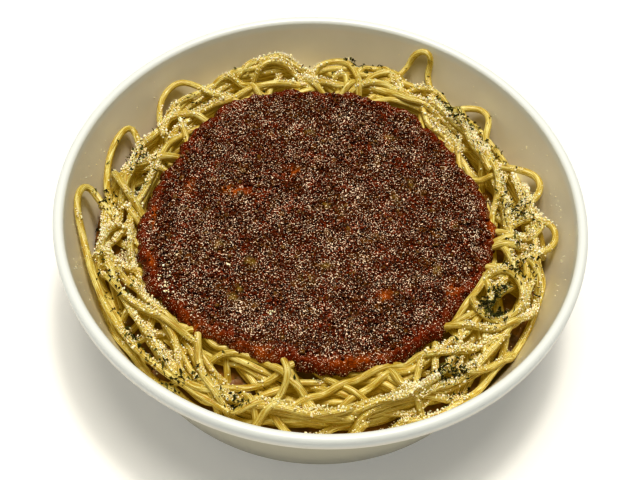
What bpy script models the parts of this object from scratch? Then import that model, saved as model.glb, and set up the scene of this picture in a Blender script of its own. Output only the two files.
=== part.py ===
"""A round white bowl of spaghetti with a flat round of meat sauce on it.

Metres, +Z up. The origin is the middle of the bowl's foot, on the surface that it stands on.

Every piece is lofted round the bowl's axis. Its section at a bearing is a list of
(radius, height) points that starts on the axis underneath, runs out and up, and comes
back to the axis over the top.
"""

import math

import bmesh
import bpy

# The gap kept between pieces that touch.
GAP = 0.0003

# The bowl.
BOWL_HEIGHT = 0.055
RIM_RADIUS = 0.090
RIM_WIDTH = 0.0037
WALL = 0.0013
WALL_TAPER = 0.33
LIP_WALL = 0.0011
LIP_DROP = 0.0048
FOOT_CORNER = 0.0025
FOOT_WIDTH = 0.0045
FOOT_RECESS = 0.0028
FLOOR_CORNER = 0.006
BOWL_SEGMENTS = 72

# The round of sauce: its mean outline, and the lobes (waves round it, height, bearing of a crest).
SAUCE_RADIUS = 0.060
SAUCE_DEPTH = 0.007
SAUCE_BELOW_RIM = 0.007
SAUCE_LOBES = (
    (1, 0.0013, 180),
    (3, 0.0011, 93),
    (4, 0.0010, 23),
    (5, 0.0012, 64),
    (6, 0.0006, 3),
)
SAUCE_RELIEF = 0.00045
SAUCE_SEGMENTS = 72

# The sauce's side, from its underside up: how far it draws in, and the share of the depth.
SAUCE_SIDE = (
    (0.0020, 0.0),
    (0.0006, 0.12),
    (0.0, 0.40),
    (0.0001, 0.66),
    (0.0008, 0.86),
    (0.0022, 0.97),
    (0.0040, 1.0),
)
SAUCE_TOP_RINGS = (0.82, 0.66, 0.48, 0.28)

# The heap of spaghetti: how high it stands at the wall and beside the sauce.
HEAP_BELOW_RIM = 0.0146
HEAP_RISE_BY_SAUCE = 0.0052
HEAP_LEAVES_WALL = 0.010
HEAP_SHOULDER = 0.0028
HEAP_RELIEF = 0.0007
HEAP_SEGMENTS = 96
HEAP_TOP_RINGS = 6

# The seat that the sauce lies in, and the crest of pasta round it.
SEAT_CLEARANCE = 0.0005
SEAT_FILLET = 0.0004
CREST_INSIDE = 0.0022

# The front of the heap, where the crest is low: its bearing, half width in degrees, share lost.
FRONT = 268
FRONT_HALF_WIDTH = 48
FRONT_SINK = 0.82
FRONT_RISE_AT_WALL = 0.0008

# The room that a strand takes where it stands against the wall.
LOOP_THICKNESS = 0.0052

# Strands that stand up against the wall: bearing, height above the heap, half width in degrees.
WALL_LOOPS = (
    (20, 0.0015, 7),
    (47, 0.0020, 5),
    (66, 0.0105, 5),
    (88, 0.0014, 6),
    (134, 0.0036, 5),
    (156, 0.0018, 9),
    (190, 0.0066, 12),
)

# Where the heap stands back from the wall: bearing, distance, half width in degrees.
WALL_RECESSES = (
    (165, 0.0030, 13),
    (222, 0.0042, 16),
    (268, 0.0028, 20),
    (318, 0.0015, 14),
)

WALL_ANGLE = math.atan(WALL_TAPER)
RIM_ROUND = RIM_WIDTH / 2
RIM_SPRING = BOWL_HEIGHT - RIM_ROUND
FLOOR_TOP = FOOT_RECESS + WALL
SAUCE_TOP = BOWL_HEIGHT - SAUCE_BELOW_RIM
SAUCE_BOTTOM = SAUCE_TOP - SAUCE_DEPTH
SEAT = SAUCE_BOTTOM - GAP
HEAP_TOP = BOWL_HEIGHT - HEAP_BELOW_RIM


def clear_scene():
    for obj in list(bpy.data.objects):
        bpy.data.objects.remove(obj, do_unlink=True)


def material(name, colour, roughness, metallic=0.0):
    """A Principled material, with its colour in linear RGB."""
    made = bpy.data.materials.new(name)
    made.use_nodes = True
    shader = made.node_tree.nodes["Principled BSDF"]
    shader.inputs["Base Color"].default_value = (*colour, 1.0)
    shader.inputs["Roughness"].default_value = roughness
    shader.inputs["Metallic"].default_value = metallic
    made.diffuse_color = (*colour, 1.0)
    return made


def arc(centre, radius, start, end, steps):
    """Points on an arc between two angles in radians, both ends included."""
    points = []
    for step in range(steps + 1):
        angle = start + (end - start) * step / steps
        points.append((centre[0] + radius * math.cos(angle), centre[1] + radius * math.sin(angle)))
    return points


def bell(bearing, middle, half_width):
    """A smooth hump of height 1 round a bearing in degrees."""
    away = (math.degrees(bearing) - middle + 180) % 360 - 180
    return math.exp(-((away / half_width) ** 2))


def mix(start, end, share):
    return start + (end - start) * share


def smooth(share):
    share = min(max(share, 0.0), 1.0)
    return share * share * (3 - 2 * share)


def loft(name, section, segments, look, sharp_angle=35):
    """One closed piece through section(bearing) at each of the bearings."""
    mesh = bmesh.new()
    rings = []
    for index in range(segments):
        bearing = math.tau * index / segments
        points = section(bearing)
        if index == 0:
            bottom = mesh.verts.new((0, 0, points[0][1]))
            top = mesh.verts.new((0, 0, points[-1][1]))
        across, along = math.cos(bearing), math.sin(bearing)
        rings.append([mesh.verts.new((r * across, r * along, z)) for r, z in points[1:-1]])
    for here, following in zip(rings, rings[1:] + rings[:1]):
        mesh.faces.new((bottom, following[0], here[0]))
        mesh.faces.new((top, here[-1], following[-1]))
        for low in range(len(here) - 1):
            mesh.faces.new((here[low], following[low], following[low + 1], here[low + 1]))
    bmesh.ops.recalc_face_normals(mesh, faces=mesh.faces)
    data = bpy.data.meshes.new(name)
    mesh.to_mesh(data)
    mesh.free()
    data.shade_smooth()
    data.set_sharp_from_angle(angle=math.radians(sharp_angle))
    data.materials.append(look)
    obj = bpy.data.objects.new(name, data)
    bpy.context.scene.collection.objects.link(obj)
    return obj


def inner_wall(height):
    """The radius of the inside of the bowl's wall."""
    return RIM_RADIUS - RIM_WIDTH - WALL_TAPER * (RIM_SPRING - height)


def outer_wall(height):
    return inner_wall(height) + WALL / math.cos(WALL_ANGLE)


def corner(wall_radius_at, rise, base, radius, steps):
    """The arc, inside out, that joins a level base to a wall, with its middle `rise` above the base."""
    middle = wall_radius_at(base + rise) - rise / math.cos(WALL_ANGLE)
    return arc((middle, base + rise), radius, -math.pi / 2, -WALL_ANGLE, steps)


def bowl_section(bearing):
    foot = corner(outer_wall, FOOT_CORNER, 0.0, FOOT_CORNER, 4)
    foot_inside = foot[0][0] - FOOT_WIDTH
    rim_middle = (RIM_RADIUS - RIM_ROUND, RIM_SPRING)
    slot_outside = RIM_RADIUS - LIP_WALL
    slot_round = (slot_outside - outer_wall(RIM_SPRING)) / 2
    slot_middle = (slot_outside - slot_round, RIM_SPRING)
    lip_round = LIP_WALL / 2
    lip_middle = (RIM_RADIUS - lip_round, BOWL_HEIGHT - LIP_DROP + lip_round)
    floor_corner = corner(inner_wall, FLOOR_CORNER, FLOOR_TOP, FLOOR_CORNER, 4)
    return [
        (0.0, FOOT_RECESS),
        (foot_inside - FOOT_RECESS / 2, FOOT_RECESS),
        (foot_inside - FOOT_RECESS / 8, FOOT_RECESS / 8),
        (foot_inside, 0.0),
        *foot,
        *arc(slot_middle, slot_round, math.pi, 0.0, 3),
        *arc(lip_middle, lip_round, -math.pi, 0.0, 3),
        *arc(rim_middle, RIM_ROUND, 0.0, math.pi, 9),
        *reversed(floor_corner),
        (0.0, FLOOR_TOP),
    ]


def sauce_radius(bearing):
    """The outline of the round of sauce."""
    lobes = (
        height * math.cos(waves * (bearing - math.radians(crest)))
        for waves, height, crest in SAUCE_LOBES
    )
    return SAUCE_RADIUS + sum(lobes)


def sauce_relief(radius, bearing):
    """Slow humps in the top of the sauce, which fade at its edge and at the axis."""
    share = radius / SAUCE_RADIUS
    humps = math.cos(3 * bearing + 7 * share) + 0.6 * math.cos(5 * bearing - 11 * share)
    return SAUCE_RELIEF * humps * smooth(share * 2) * smooth((1 - share) * 6)


def sauce_section(bearing):
    edge = sauce_radius(bearing)
    points = [(0.0, SAUCE_BOTTOM)]
    points += [(edge - inset, SAUCE_BOTTOM + SAUCE_DEPTH * share) for inset, share in SAUCE_SIDE]
    for share in SAUCE_TOP_RINGS:
        radius = edge * share
        points.append((radius, SAUCE_TOP + sauce_relief(radius, bearing)))
    points.append((0.0, SAUCE_TOP))
    return points


def heap_wall(height):
    """The radius of the heap where it lies against the bowl's wall."""
    return inner_wall(height) - GAP / math.cos(WALL_ANGLE)


def heap_relief(bearing, share):
    """The lie of the bundles on top of the heap, between the sauce (0) and the wall (1)."""
    waves = (
        math.sin(9 * bearing + 2.1 + 2 * share)
        + 0.7 * math.sin(17 * bearing + 0.4 - 5 * share)
        + 0.5 * math.sin(29 * bearing + 1.3 + 8 * share)
    )
    return HEAP_RELIEF * waves


def heap_height(bearing, share):
    """The height of the heap's top between the sauce (0) and the wall (1)."""
    front = bell(bearing, FRONT, FRONT_HALF_WIDTH)
    by_sauce = HEAP_TOP + HEAP_RISE_BY_SAUCE * (1 - FRONT_SINK * front)
    by_wall = HEAP_TOP + FRONT_RISE_AT_WALL * front
    return mix(by_sauce, by_wall, smooth(share * 1.3)) + heap_relief(bearing, share)


def heap_section(bearing):
    seat_edge = sauce_radius(bearing) + SEAT_CLEARANCE
    loop = sum(height * bell(bearing, middle, half) for middle, height, half in WALL_LOOPS)
    recess = sum(depth * bell(bearing, middle, half) for middle, depth, half in WALL_RECESSES)
    edge_height = heap_height(bearing, 1.0) + loop
    edge = heap_wall(edge_height - HEAP_SHOULDER) - recess
    leaves_wall = HEAP_TOP - HEAP_LEAVES_WALL
    loop_foot = edge - LOOP_THICKNESS
    crest = seat_edge + CREST_INSIDE
    crest_height = heap_height(bearing, 0.0)
    points = [(0.0, FLOOR_TOP + GAP)]
    points += corner(inner_wall, FLOOR_CORNER, FLOOR_TOP, FLOOR_CORNER - GAP, 4)
    points.append((heap_wall(leaves_wall), leaves_wall))
    shoulder = (edge - HEAP_SHOULDER, edge_height - HEAP_SHOULDER)
    points += arc(shoulder, HEAP_SHOULDER, 0.0, math.pi * 0.55, 3)
    for ring in range(HEAP_TOP_RINGS):
        share = 1 - ring / HEAP_TOP_RINGS
        points.append((mix(crest, loop_foot, share), heap_height(bearing, share)))
    points.append((crest, crest_height))
    points.append((mix(seat_edge, crest, 0.3), mix(SEAT, crest_height, 0.75)))
    points.append((seat_edge, mix(SEAT, crest_height, 0.25)))
    points.append((seat_edge - SEAT_FILLET, SEAT))
    points.append((0.0, SEAT))
    return points


def main():
    clear_scene()
    white = material("bowl_white", (0.80, 0.78, 0.72), 0.35)
    pasta = material("cooked_pasta", (0.62, 0.47, 0.19), 0.40)
    mince = material("meat_sauce", (0.13, 0.043, 0.020), 0.38)
    loft("bowl", bowl_section, BOWL_SEGMENTS, white)
    loft("spaghetti", heap_section, HEAP_SEGMENTS, pasta)
    loft("meat_sauce", sauce_section, SAUCE_SEGMENTS, mince)


main()
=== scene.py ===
"""The looks of a bowl of spaghetti under a round of meat sauce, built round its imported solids.

Metres, +Z up, with the origin in the middle of the bowl's foot. A place in the bowl is given as a
bearing in degrees (0 is +X, 270 is the near side) and a radius or height in millimetres.
"""

import itertools
import math

import bpy
import numpy as np
from mathutils import Matrix, Vector


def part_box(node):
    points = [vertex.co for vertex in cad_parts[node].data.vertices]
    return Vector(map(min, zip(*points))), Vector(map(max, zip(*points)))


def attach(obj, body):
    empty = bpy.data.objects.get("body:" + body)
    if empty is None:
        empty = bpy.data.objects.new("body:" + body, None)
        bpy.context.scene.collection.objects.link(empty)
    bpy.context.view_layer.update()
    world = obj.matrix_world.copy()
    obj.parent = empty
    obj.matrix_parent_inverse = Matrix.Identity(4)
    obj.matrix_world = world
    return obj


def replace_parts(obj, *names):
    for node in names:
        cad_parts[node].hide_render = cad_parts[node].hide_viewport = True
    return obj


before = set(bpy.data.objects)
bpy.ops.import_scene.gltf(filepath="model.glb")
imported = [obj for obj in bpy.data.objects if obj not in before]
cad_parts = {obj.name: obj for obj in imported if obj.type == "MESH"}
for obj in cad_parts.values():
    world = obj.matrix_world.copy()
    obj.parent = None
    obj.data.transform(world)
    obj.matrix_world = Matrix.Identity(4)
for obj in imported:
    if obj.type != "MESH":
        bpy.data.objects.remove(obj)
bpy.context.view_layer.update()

MM = 0.001
rng = np.random.default_rng(11)

# ---------- sizes

# The bowl: its rolled rim, its leaning wall with the lip outside, and its foot ring.
RIM_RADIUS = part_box("bowl")[1].x
RIM_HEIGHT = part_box("bowl")[1].z
RIM_WIDTH = 3.7 * MM
RIM_ROUND = RIM_WIDTH / 2
WALL_TAPER = 0.33
WALL_ANGLE = math.atan(WALL_TAPER)
WALL = 1.3 * MM
LIP_WALL = 1.1 * MM
LIP_DROP = 4.8 * MM
FOOT_CORNER = 2.5 * MM
FOOT_WIDTH = 4.5 * MM
FOOT_RECESS = 2.8 * MM
FLOOR_CORNER = 6 * MM
FLOOR_TOP = FOOT_RECESS + WALL
BOWL_SPOKES = 180
CREASE = math.radians(40)

# The round of sauce, and the lobes of its outline: waves round it, height in mm, bearing of a crest.
SAUCE_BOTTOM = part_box("meat_sauce")[0].z
SAUCE_TOP = RIM_HEIGHT - 7 * MM
SAUCE_RADIUS = 60 * MM
SAUCE_LOBES = (
    (1, 1.3, 180), (3, 1.1, 93), (4, 1, 23), (5, 1.2, 64), (6, 0.6, 3),
)

STRAND_RADIUS = 1.21 * MM

# The pasta's level at the wall, its rise beside the sauce, the front, where it stays low, how soon
# the rise ends, and how wide the edge of the sauce's seat is.
PASTA_LEVEL = RIM_HEIGHT - 14.6 * MM
PASTA_RISE = 5.2 * MM
FRONT_BEARING = 268
FRONT_HALF_WIDTH = 48
FRONT_SINK = 0.82
RISE_STEEPNESS = 1.3
SEAT_EDGE = 3 * MM

# Where the pasta stands back from the wall: bearing, distance in mm, half width in degrees.
WALL_RECESSES = (
    (165, 3, 13), (218, 2.2, 12), (322, 0.6, 12),
)


def inner_wall(height):
    """The radius of the inside of the bowl's wall."""
    return RIM_RADIUS - RIM_WIDTH - WALL_TAPER * (RIM_HEIGHT - RIM_ROUND - height)


def bell(bearing, middle, half_width):
    """A smooth hump of height 1 round a bearing, in degrees."""
    away = (bearing - middle + 180) % 360 - 180
    return np.exp(-((away / half_width) ** 2))


def smooth(share):
    """0 to 1 with a soft start and end, and level outside that."""
    share = np.clip(share, 0, 1)
    return share * share * (3 - 2 * share)


def bearing_of(x, y):
    """The bearing of a place, in degrees from 0 to 360."""
    return np.degrees(np.arctan2(y, x)) % 360


def place(bearing, radius):
    """x and y, in metres, of a bearing in degrees and a radius in metres."""
    turn = np.radians(bearing)
    return radius * np.cos(turn), radius * np.sin(turn)


def sauce_radius(bearing):
    """The outline of the round of sauce."""
    turn = np.radians(bearing)
    lobes = sum(
        height * MM * np.cos(waves * (turn - math.radians(crest)))
        for waves, height, crest in SAUCE_LOBES
    )
    return SAUCE_RADIUS + lobes


def pasta_level(x, y):
    """The height of the top of the pasta; under the sauce, the height of the sauce's seat."""
    bearing = bearing_of(x, y)
    radius = np.hypot(x, y)
    edge = sauce_radius(bearing)
    share = np.clip((radius - edge) / (inner_wall(PASTA_LEVEL) - edge), 0, 1)
    front = bell(bearing, FRONT_BEARING, FRONT_HALF_WIDTH)
    by_sauce = PASTA_LEVEL + PASTA_RISE * (1 - FRONT_SINK * front)
    level = by_sauce + (PASTA_LEVEL - by_sauce) * smooth(share * RISE_STEEPNESS)
    seat = np.minimum(level, SAUCE_BOTTOM)
    return level + (seat - level) * smooth((edge - radius) / SEAT_EDGE)


def outer_limit(bearing):
    """How far out a strand lies at the pasta's level."""
    recess = sum(depth * MM * bell(bearing, middle, half) for middle, depth, half in WALL_RECESSES)
    return inner_wall(PASTA_LEVEL) - STRAND_RADIUS - recess


# ---------- meshes


def mesh_piece(name, points, faces, look, slot, smooth_faces=True):
    """A piece from arrays of points and faces, which rides on the one body."""
    mesh = bpy.data.meshes.new(name)
    mesh.from_pydata(np.asarray(points).tolist(), [], [list(map(int, face)) for face in faces])
    mesh.validate()
    mesh.update()
    mesh.polygons.foreach_set("use_smooth", [smooth_faces] * len(mesh.polygons))
    mesh.materials.append(look)
    obj = bpy.data.objects.new(name, mesh)
    bpy.context.scene.collection.objects.link(obj)
    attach(obj, "root")
    return obj


def attribute(obj, name, values):
    """A number for each point of a piece, for its material to read."""
    made = obj.data.attributes.new(name, "FLOAT", "POINT")
    made.data.foreach_set("value", np.asarray(values, np.float32))


class Parts:
    """Many small parts gathered into one piece of the pasta, each with its own tone."""

    def __init__(self):
        self.points, self.faces, self.tones = [], [], []
        self.count = 0

    def add(self, points, faces):
        """Adds a part, with a tone at random."""
        self.points.append(points)
        self.faces += [[self.count + corner for corner in face] for face in faces]
        self.tones.append(np.full(len(points), rng.uniform()))
        self.count += len(points)

    def piece(self, name, look, smooth_faces=True):
        """The piece of all the parts."""
        obj = mesh_piece(name, np.vstack(self.points), self.faces, look, "spaghetti", smooth_faces)
        attribute(obj, "tone", np.concatenate(self.tones))
        return obj


def even_bearings(count):
    """That many bearings at even steps all the way round."""
    return [step * 360 / count for step in range(count)]


def skin(start, rings, end):
    """Points and faces of a closed skin: a height on the axis, rings of points, and a height on the axis."""
    around = len(rings[0])
    points = [(0.0, 0.0, start), *itertools.chain(*rings), (0.0, 0.0, end)]
    last_ring = 1 + (len(rings) - 1) * around
    faces = []
    for here in range(around):
        after = (here + 1) % around
        faces.append((0, 1 + after, 1 + here))
        for low in range(1, last_ring, around):
            high = low + around
            faces.append((low + here, low + after, high + after, high + here))
        faces.append((last_ring + here, last_ring + after, len(points) - 1))
    return points, faces


# ---------- the bowl

# Straight runs in an arc of the bowl's profile: round the small corners, the floor's and the rim.
SMALL_ARC = 6
FLOOR_ARC = 8
RIM_ARC = 16


def arc(centre, radius, start, end, steps):
    """Points on an arc between two angles in radians, both ends included."""
    angles = np.linspace(start, end, steps + 1)
    return [(centre[0] + radius * math.cos(angle), centre[1] + radius * math.sin(angle)) for angle in angles]


def outer_wall(height):
    """The radius of the outside of the bowl's wall."""
    return inner_wall(height) + WALL / math.cos(WALL_ANGLE)


def wall_foot(wall_radius_at, base, radius, steps):
    """The arc that joins a level base to a wall, inside out."""
    middle = wall_radius_at(base + radius) - radius / math.cos(WALL_ANGLE)
    return arc((middle, base + radius), radius, -math.pi / 2, -WALL_ANGLE, steps)


def bowl_profile():
    """(radius, height) points from the axis underneath, out and up, and back over the floor."""
    foot = wall_foot(outer_wall, 0.0, FOOT_CORNER, SMALL_ARC)
    foot_inside = foot[0][0] - FOOT_WIDTH
    spring = RIM_HEIGHT - RIM_ROUND
    slot_outside = RIM_RADIUS - LIP_WALL
    slot_round = (slot_outside - outer_wall(spring)) / 2
    lip_round = LIP_WALL / 2
    lip_bottom = RIM_HEIGHT - LIP_DROP
    return [
        (0.0, FOOT_RECESS),
        (foot_inside - FOOT_RECESS / 2, FOOT_RECESS),
        (foot_inside - FOOT_RECESS / 8, FOOT_RECESS / 8),
        (foot_inside, 0.0),
        *foot,
        *arc((slot_outside - slot_round, spring), slot_round, math.pi, 0.0, SMALL_ARC),
        *arc((RIM_RADIUS - lip_round, lip_bottom + lip_round), lip_round, -math.pi, 0.0, SMALL_ARC),
        *arc((RIM_RADIUS - RIM_ROUND, spring), RIM_ROUND, 0.0, math.pi, RIM_ARC),
        *reversed(wall_foot(inner_wall, FLOOR_TOP, FLOOR_CORNER, FLOOR_ARC)),
        (0.0, FLOOR_TOP),
    ]


def bowl_piece(look):
    """The bowl, turned from its profile, with crisp edges where the profile bends sharply."""
    start, *profile, end = bowl_profile()
    bearings = even_bearings(BOWL_SPOKES)
    rings = [[(*place(bearing, out), height) for bearing in bearings] for out, height in profile]
    obj = mesh_piece("bowl_body", *skin(start[1], rings, end[1]), look, "bowl")
    obj.data.set_sharp_from_angle(angle=CREASE)
    return obj


# ---------- paths

FEWEST_STEPS = 4
SPLINE_STEPS = 12


def resample(path, step):
    """The path with a point every step along it."""
    lengths = np.linalg.norm(np.diff(path, axis=0), axis=1)
    along = np.concatenate([[0], np.cumsum(lengths)])
    count = max(int(round(along[-1] / step)), FEWEST_STEPS)
    wanted = np.linspace(0, along[-1], count + 1)
    return np.stack([np.interp(wanted, along, column) for column in path.T], axis=1)


def spline(points, step):
    """A smooth curve through the points, with a point every step along it."""
    knots = np.asarray(points, float)
    knots = np.vstack([2 * knots[0] - knots[1], knots, 2 * knots[-1] - knots[-2]])
    pieces = []
    share = np.linspace(0, 1, SPLINE_STEPS, endpoint=False)[:, None]
    for before, start, end, after in zip(knots, knots[1:], knots[2:], knots[3:]):
        pieces.append(
            0.5
            * (
                2 * start
                + (end - before) * share
                + (2 * before - 5 * start + 4 * end - after) * share**2
                + (3 * start - before - 3 * end + after) * share**3
            )
        )
    pieces.append(knots[-2][None])
    return resample(np.vstack(pieces), step)


def soften(values, rounds):
    """Values averaged with their neighbours, with the ends kept."""
    values = values.copy()
    for _ in range(rounds):
        values[1:-1] = (values[:-2] + 2 * values[1:-1] + values[2:]) / 4
    return values


# ---------- the lie of the strands


class Surface:
    """A height map of what has been laid so far, which the next strand lies on."""

    CELL = 0.4 * MM
    # Where a strand feels for what is below it: shares of its radius to each side.
    ACROSS = (-0.9, -0.5, 0.0, 0.5, 0.9)

    def __init__(self, reach, height_at):
        self.reach = reach
        steps = int(2 * reach / self.CELL) + 1
        line = np.linspace(-reach, reach, steps)
        x, y = np.meshgrid(line, line)
        self.height = height_at(x, y)

    def cells(self, x, y):
        """The row and column of the map at each place."""
        last = len(self.height) - 1
        column = np.clip(np.rint((x + self.reach) / self.CELL).astype(int), 0, last)
        row = np.clip(np.rint((y + self.reach) / self.CELL).astype(int), 0, last)
        return row, column

    def top(self, x, y):
        """The height of the map at each place."""
        return self.height[self.cells(x, y)]

    def support(self, path, radius):
        """How high a strand's middle has to be, to lie on what is there."""
        run = np.gradient(path, axis=0)
        run /= np.maximum(np.linalg.norm(run, axis=1, keepdims=True), 1e-9)
        needed = np.full(len(path), -1.0)
        for share in self.ACROSS:
            x = path[:, 0] - run[:, 1] * share * radius
            y = path[:, 1] + run[:, 0] * share * radius
            needed = np.maximum(needed, self.top(x, y) + radius * math.sqrt(1 - share * share))
        return needed

    def stamp(self, path, radius):
        """Adds a strand to the map."""
        fine = resample(path, self.CELL)
        reach = int(radius / self.CELL) + 1
        row, column = self.cells(fine[:, 0], fine[:, 1])
        last = len(self.height) - 1
        for down in range(-reach, reach + 1):
            for over in range(-reach, reach + 1):
                rows = np.clip(row + down, 0, last)
                columns = np.clip(column + over, 0, last)
                away_x = columns * self.CELL - self.reach - fine[:, 0]
                away_y = rows * self.CELL - self.reach - fine[:, 1]
                left = radius**2 - away_x**2 - away_y**2
                inside = left > 0
                top = fine[inside, 2] + np.sqrt(left[inside])
                np.maximum.at(self.height, (rows[inside], columns[inside]), top)


CORE_DEPTH = 8.5 * MM
CORE_LUMPS = 0.5 * MM


def core_height(x, y):
    """The top of the core that the strands lie on."""
    large = np.sin(x / (5.3 * MM) + 1.0) * np.sin(y / (6.1 * MM))
    small = 0.6 * np.sin((x + y) / (3.1 * MM))
    return pasta_level(x, y) - CORE_DEPTH + CORE_LUMPS * (large + small)


# The points of a route, and how often its height is evened out as the strand sags and settles.
SPACING = 1.0 * MM
LAY_ROUNDS = 2
SLACK_ROUNDS = 8
SETTLE_ROUNDS = 8
ROUTE_ROUNDS = 9
TIP_LENGTH = 8 * MM
TIP_SINK = 3.2 * MM
# Under the sauce a strand keeps below this height, which sets in this far outside the sauce.
CEILING_IN_SAUCE = SAUCE_TOP - 3.4 * MM
CEILING_STARTS = 2 * MM
# The least distance from a strand's middle to the wall.
FROM_WALL = 1.04 * STRAND_RADIUS


def tip_sink(route):
    """How far each point of a route sinks, so that its two ends dip into the heap."""
    from_end = np.minimum(np.arange(len(route)), np.arange(len(route))[::-1]) * SPACING
    return TIP_SINK * smooth(1 - from_end / TIP_LENGTH)


def lay(surface, route):
    """Lays a strand along a flat route: it rests on what is below, and bridges short gaps."""
    path = route
    for _ in range(LAY_ROUNDS):
        needed = surface.support(path, STRAND_RADIUS)
        height = needed.copy()
        for _ in range(SLACK_ROUNDS):
            height = np.maximum(needed, soften(height, 1))
        height = soften(height, SETTLE_ROUNDS)
        x, y = path[:, 0], path[:, 1]
        around = bearing_of(x, y)
        out = np.hypot(x, y)
        under = smooth((sauce_radius(around) + CEILING_STARTS - out) / SEAT_EDGE)
        capped = np.minimum(height, CEILING_IN_SAUCE)
        height = soften(height + (capped - height) * under, 2) - tip_sink(path)
        limit = inner_wall(height) - FROM_WALL
        pull = soften(np.minimum(1.0, limit / out), 2)
        path = path * np.minimum(pull, limit / out)[:, None]
    laid = np.column_stack([path, height])
    surface.stamp(laid, STRAND_RADIUS)
    return laid


def stand(surface, route):
    """A strand that stands up against the wall, on its own route."""
    points = [(*place(bearing, out * MM), height * MM) for bearing, out, height in route]
    path = spline(points, SPACING)
    surface.stamp(path, STRAND_RADIUS)
    return path


# ---------- strands at random

# How long a strand is, how sharply it bends, and how far it keeps the same bend.
WANDER_LENGTH = (130 * MM, 280 * MM)
WANDER_ROUNDS = 3
BEND_SPREAD = 1 / (42 * MM)
BEND_MEMORY = 30 * MM
TIGHTEST_BEND = 1 / (12 * MM)
# How it looks for low places: how far ahead and aside, and how strongly it turns to them.
LOOK_AHEAD = 9 * MM
LOOK_ASIDE = math.radians(38)
PULL_TO_LOW = 22 / MM
# Where it may start: how many places it tries, and how far from the wall they are.
START_TRIES = 40
START_FROM_WALL = 3 * MM
# How far under the top of the pasta they fill it, and how near to the middle they run.
UNDER_THE_TOP = 2.9 * MM
CROSSING_INNER = 47 * MM
# Routes tried for each strand, the limits of the map of low places, and the most strands laid.
ROUTE_TRIES = 5
MOST_OVER = 9 * MM
MOST_SHORT = 4 * MM
MOST_STRANDS = 60


class Shortfall:
    """How far the strands laid so far are below the level wanted, blurred a little."""

    BARRIER = -14 * MM
    BLUR_WIDTHS = (2, 3)

    def __init__(self, surface):
        line = np.linspace(-surface.reach, surface.reach, len(surface.height))
        x, y = np.meshgrid(line, line)
        out = np.hypot(x, y)
        bearing = bearing_of(x, y)
        self.surface = surface
        self.wanted = pasta_level(x, y) - UNDER_THE_TOP
        self.inside = (out > CROSSING_INNER) & (out < outer_limit(bearing))
        self.shown = (out > sauce_radius(bearing)) & (out < outer_limit(bearing))
        self.refresh()

    def refresh(self):
        """Works the map out again, after another strand."""
        short = np.clip(self.wanted - self.surface.height, -MOST_OVER, MOST_SHORT)
        self.mean = float(short[self.shown].mean())
        short[~self.inside] = self.BARRIER
        for axis in (0, 1):
            for width in self.BLUR_WIDTHS:
                shifts = range(-width, width + 1)
                short = sum(np.roll(short, shift, axis) for shift in shifts) / len(shifts)
        self.map = short

    def at(self, x, y):
        """The blurred shortfall at each place."""
        return self.map[self.surface.cells(np.asarray(x), np.asarray(y))]


def wander(shortfall):
    """A flat route of one strand, which bends as it likes and leans towards the low places."""
    bearings = rng.uniform(0, 360, START_TRIES)
    outs = rng.uniform(CROSSING_INNER, inner_wall(PASTA_LEVEL) - START_FROM_WALL, START_TRIES)
    starts = np.stack(place(bearings, outs))
    x, y = starts[:, np.argmax(shortfall.at(*starts))]
    heading = rng.uniform(0, math.tau)
    bend = rng.normal(0, BEND_SPREAD)
    keep = SPACING / BEND_MEMORY
    shake = BEND_SPREAD * math.sqrt(2 * keep)
    length = rng.uniform(*WANDER_LENGTH)
    points = []
    for kick in rng.normal(0, shake, int(length / SPACING)):
        points.append((x, y))
        bend += kick - bend * keep
        ways = heading + np.array([LOOK_ASIDE, 0.0, -LOOK_ASIDE])
        left, ahead, right = shortfall.at(x + np.cos(ways) * LOOK_AHEAD, y + np.sin(ways) * LOOK_AHEAD)
        turn = bend + (left - right) * PULL_TO_LOW
        if ahead < shortfall.BARRIER / 2:
            turn += TIGHTEST_BEND * (1 if left >= right else -1)
        turn = min(max(turn, -TIGHTEST_BEND), TIGHTEST_BEND)
        heading += turn * SPACING
        x += math.cos(heading) * SPACING
        y += math.sin(heading) * SPACING
    route = soften(np.array(points), WANDER_ROUNDS)
    out = np.hypot(*route.T)
    limit = outer_limit(bearing_of(*route.T))
    return route * np.minimum(1.0, limit / out)[:, None]


def lay_wandering(surface):
    """Lays strands one by one until the level is reached, each the best of a few at filling low places."""
    laid = []
    shortfall = Shortfall(surface)
    while shortfall.mean > 0 and len(laid) < MOST_STRANDS:
        routes = [wander(shortfall) for _ in range(ROUTE_TRIES)]
        route = max(routes, key=lambda points: shortfall.at(*points.T).mean())
        laid.append(lay(surface, route))
        shortfall.refresh()
    return laid


# ---------- strands that show

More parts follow.
